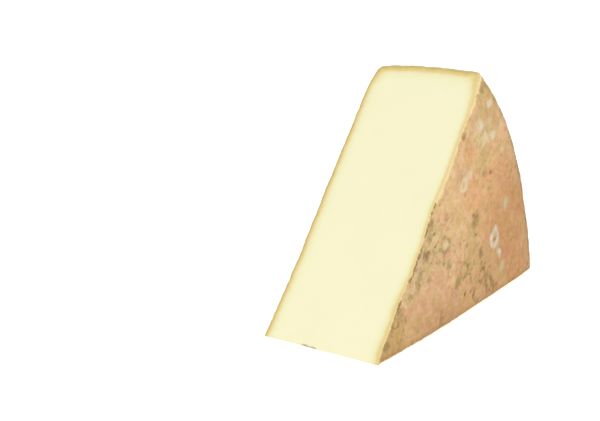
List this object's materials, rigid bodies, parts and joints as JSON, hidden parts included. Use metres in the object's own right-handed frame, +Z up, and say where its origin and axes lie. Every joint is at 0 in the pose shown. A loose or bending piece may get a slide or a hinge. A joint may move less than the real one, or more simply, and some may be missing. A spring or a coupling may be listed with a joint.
{
  "type": "semi-hard cheese",
  "caption": "Wedge of semi-hard cheese cut from a low round wheel, with pale smooth paste on its cut faces and a mottled tan rind, lying on a cut face.",
  "frame": {"origin": "centre of the part's box, at floor level, on the cut face that it rests on", "axes": "+X from the thin nose edge to the rim, +Y along the axis of the wheel that the wedge was cut from, +Z up"},
  "size_m": [0.1932, 0.0726, 0.1358],
  "materials": {
    "cheese": "smooth pale cream-yellow paste on the cut faces, dry mottled tan rind on the outside"
  },
  "bodies": {
    "root": {"cheese_wedge": "cheese"}
  },
  "joints": []
}
